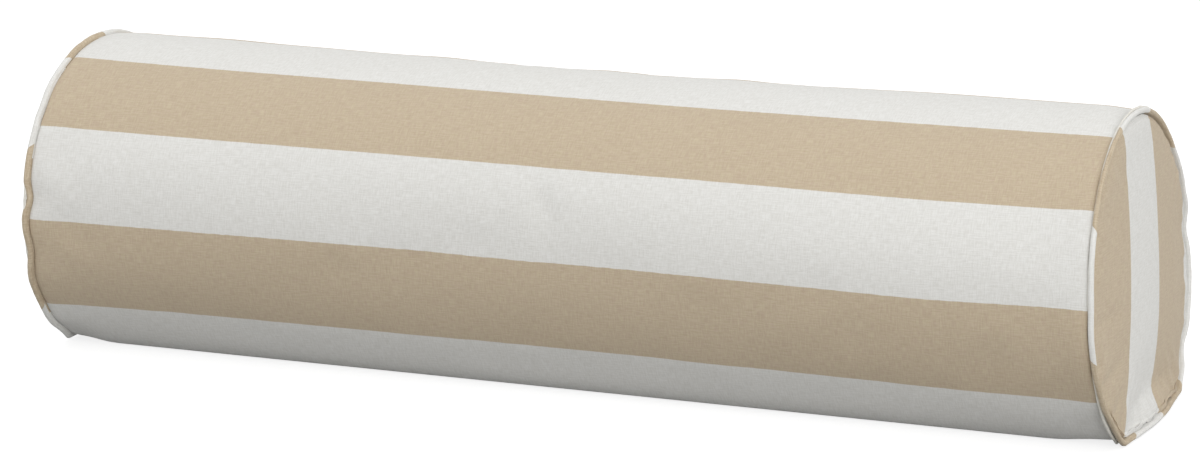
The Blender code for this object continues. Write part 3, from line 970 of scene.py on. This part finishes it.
def leanedCopy(name, source):
    piece = nodeCopy(name, source)
    inEdit(piece,
           lambda: bpy.ops.mesh.remove_doubles(threshold=0.000002),
           lambda: bpy.ops.mesh.tris_convert_to_quads(),
           lambda: bpy.ops.mesh.subdivide(number_cuts=1))
    for vertex in piece.data.vertices:
        vertex.co = lean(vertex.co)
    return piece


def makeInsert():
    finishes = {
        "lining_cloth": plainCloth("cottonLining", (0.70, 0.70, 0.68), (0.80, 0.80, 0.78),
                                   (900, 900, 900), 0.0001),
        "fleece": plainCloth("polyesterFleece", (0.74, 0.74, 0.73), (0.88, 0.88, 0.87),
                             (260, 260, 260), 0.0012, sheen=0.3),
        "foam": plainCloth("creamFoam", (0.62, 0.55, 0.36), (0.78, 0.72, 0.52),
                           (700, 700, 700), 0.0004, sheen=0.0),
        "cotton_cord": plainCloth("twistedCotton", (0.66, 0.64, 0.58), (0.80, 0.78, 0.72),
                                  (900, 500, 500), 0.0004),
    }
    for name, (source, slotName) in insertPieces.items():
        piece = leanedCopy(name, source)
        piece.data.materials.append(finishes[slotName])
        smoothShade(piece, 35)
        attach(piece, "pillow")
        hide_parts(source)
    print("insert made")


zipLine = {
    "coilPitch": 0.00150,
    "coilWire": 0.00042,
    "coilTube": 0.34,           # the wire's radius, as a share of the loop's
    "coilSlant": 0.00030,
    "coilOverlap": 0.00025,     # each row of loops reaches this far into the other
    "coilMargin": 0.0006,
    "tapeRim": 0.0002,
    "tackThreads": 7,
    "tackRadius": 0.62,         # in thread pitches
    "tackRounding": 0.3,
    "stitchPitch": 0.0036,
    "stitchLength": 0.0029,
    "stitchRadius": 0.00028,
    "stitchRounding": 0.6,
    "stitchFrom": 0.0070,
    "stitchMargin": 0.004,
    "sliderEdge": 0.00022,
    "pullEdge": 0.00025,
}


def zipAxes():
    angle = math.radians(bolster["zipAngle"])
    y, z = onSection(bolster["zipAngle"], 0)
    out = Vector((0, -bolster["halfHeight"] * math.cos(angle), bolster["halfWidth"] * math.sin(angle)))
    out.normalize()
    return Vector((0, y, z)), Vector((1, 0, 0)).cross(out), out


zipOrigin, zipAcross, zipOut = zipAxes()
zipMatrix = Matrix.Translation(zipOrigin) @ Matrix((
    (1, zipAcross.x, zipOut.x, 0),
    (0, zipAcross.y, zipOut.y, 0),
    (0, zipAcross.z, zipOut.z, 0),
    (0, 0, 0, 1)))


# a node's reach along the zip, across it and outwards
def zipSpan(nodeName):
    points = [zipMatrix.inverted() @ v.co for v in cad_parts[nodeName].data.vertices]
    return [(min(p[k] for p in points), max(p[k] for p in points)) for k in range(3)]


def repeatAlongX(piece, count, pitch):
    array = piece.modifiers.new("row", "ARRAY")
    array.use_relative_offset = False
    array.use_constant_offset = True
    array.constant_offset_displace = (pitch, 0, 0)
    array.count = count
    applyModifier(piece, array)


# the zip's frame is left-handed, so the faces are turned outward again
def toZip(piece):
    piece.matrix_world = zipMatrix
    settle(piece)
    inEdit(piece, lambda: bpy.ops.mesh.normals_make_consistent(inside=False))


def coilRow(name, nodeName, sign, material):
    (xLow, xHigh), (low, high), (base, top) = zipSpan(nodeName)
    low, high = (low, high) if sign > 0 else (-high, -low)
    inner = low - zipLine["coilOverlap"]
    tube, margin = zipLine["coilTube"], zipLine["coilMargin"]
    deselectAll()
    bpy.ops.mesh.primitive_torus_add(major_segments=10, minor_segments=5, major_radius=1, minor_radius=tube)
    piece = named(name)
    half, tall = (high - inner) / 2, (top - base) / 2
    count = int((xHigh - xLow) / zipLine["coilPitch"])
    for vertex in piece.data.vertices:
        x, y, z = vertex.co
        # the loop stands across the zip and slants forward a little
        vertex.co = Vector((z / tube * zipLine["coilWire"] + x * zipLine["coilSlant"] + xLow + margin,
                            sign * (inner + half + y / (1 + tube) * half),
                            base + tall + x / (1 + tube) * tall))
    repeatAlongX(piece, count, (xHigh - xLow - 2 * margin) / (count - 1))
    inEdit(piece, lambda: bpy.ops.mesh.normals_make_consistent(inside=False))
    toZip(piece)
    smoothShade(piece, 80)
    piece.data.materials.append(material)
    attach(piece, "pillow")
    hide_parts(nodeName)


def tapeStrip(name, nodeName, material):
    piece = nodeCopy(name, nodeName)
    inEdit(piece, lambda: bpy.ops.mesh.remove_doubles(threshold=0.000002))
    rim = piece.modifiers.new("rim", "BEVEL")
    rim.width = zipLine["tapeRim"]
    rim.segments = 2
    applyModifier(piece, rim)
    smoothShade(piece, 40)
    piece.data.materials.append(material)
    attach(piece, "pillow")
    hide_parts(nodeName)


# only the rims of a thread's two ends are sharp enough to be rounded
def roundEnds(piece, width):
    ends = piece.modifiers.new("ends", "BEVEL")
    ends.width = width
    ends.segments = 2
    ends.limit_method = "ANGLE"
    ends.angle_limit = math.radians(60)
    applyModifier(piece, ends)


def tackBar(name, nodeName, material):
    (xLow, xHigh), (low, high), (base, top) = zipSpan(nodeName)
    count = zipLine["tackThreads"]
    pitch = (xHigh - xLow) / count
    deselectAll()
    bpy.ops.mesh.primitive_cylinder_add(vertices=10, radius=pitch * zipLine["tackRadius"],
                                        depth=high - low, rotation=(math.pi / 2, 0, 0))
    piece = named(name)
    settle(piece)
    roundEnds(piece, pitch * zipLine["tackRounding"])
    thick = 2 * zipLine["tackRadius"] * pitch
    for vertex in piece.data.vertices:
        vertex.co.x += xLow + pitch / 2
        vertex.co.z = base + (top - base) / 2 + vertex.co.z * (top - base) / thick
    repeatAlongX(piece, count, pitch)
    toZip(piece)
    smoothShade(piece, 50)
    piece.data.materials.append(material)
    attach(piece, "pillow")
    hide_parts(nodeName)


def stitchRow(name, sign, material):
    (xLow, xHigh), _, _ = zipSpan("zipper_tape_upper")
    deselectAll()
    bpy.ops.mesh.primitive_cylinder_add(vertices=8, radius=zipLine["stitchRadius"],
                                        depth=zipLine["stitchLength"], rotation=(0, math.pi / 2, 0))
    piece = named(name)
    settle(piece)
    roundEnds(piece, zipLine["stitchRadius"] * zipLine["stitchRounding"])
    start, length = xLow + zipLine["stitchMargin"], xHigh - xLow - 2 * zipLine["stitchMargin"]
    count = int(length / zipLine["stitchPitch"])
    angle = bolster["zipAngle"] - sign * math.degrees(zipLine["stitchFrom"] / bolster["halfWidth"])
    y, z = onSection(angle, 0.0)
    local = zipMatrix.inverted() @ Vector((0, y, z))
    for vertex in piece.data.vertices:
        vertex.co += Vector((start + zipLine["stitchLength"] / 2, local.y, local.z))
    repeatAlongX(piece, count, zipLine["stitchPitch"])
    toZip(piece)
    smoothShade(piece, 50)
    piece.data.materials.append(material)
    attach(piece, "pillow")


def metalPiece(name, nodeName, bodyName, width, material):
    piece = nodeCopy(name, nodeName)
    inEdit(piece, lambda: bpy.ops.mesh.remove_doubles(threshold=0.000002),
           lambda: bpy.ops.mesh.dissolve_limited(angle_limit=math.radians(1)))
    edges = piece.modifiers.new("edges", "BEVEL")
    edges.width = width
    edges.segments = 3
    edges.limit_method = "ANGLE"
    applyModifier(piece, edges)
    smoothShade(piece, 40)
    piece.data.materials.append(material)
    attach(piece, bodyName)
    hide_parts(nodeName)


def makeZip():
    tapeCloth = plainCloth("zipTapeWeave", (0.62, 0.60, 0.55), (0.74, 0.72, 0.68),
                           (3000, 1500, 1500), 0.0001)
    coilNylon = plainCloth("coilNylon", (0.66, 0.64, 0.58), (0.76, 0.74, 0.69),
                           (500, 500, 500), 0.00005, sheen=0.0, roughness=0.38)
    thread = plainCloth("sewingThread", (0.60, 0.52, 0.40), (0.74, 0.67, 0.55),
                        (5000, 2500, 2500), 0.0001)
    metal = nickelMaterial()
    tapeStrip("zipTapeUpper", "zipper_tape_upper", tapeCloth)
    tapeStrip("zipTapeLower", "zipper_tape_lower", tapeCloth)
    coilRow("zipCoilUpper", "zipper_coil_upper", -1, coilNylon)
    coilRow("zipCoilLower", "zipper_coil_lower", 1, coilNylon)
    tackBar("zipTackLeft", "zipper_tack_left", thread)
    tackBar("zipTackRight", "zipper_tack_right", thread)
    stitchRow("stitchesUpper", 1, thread)
    stitchRow("stitchesLower", -1, thread)
    metalPiece("zipSlider", "zipper_slider", "slider", zipLine["sliderEdge"], metal)
    metalPiece("zipPull", "zipper_pull", "pull", zipLine["pullEdge"], metal)
    print("zip made")


setStage()
coverBody()
for side in (-1, 1):
    coverEnd(side)
    pipingRing(side)
makeInsert()
makeZip()
deselectAll()
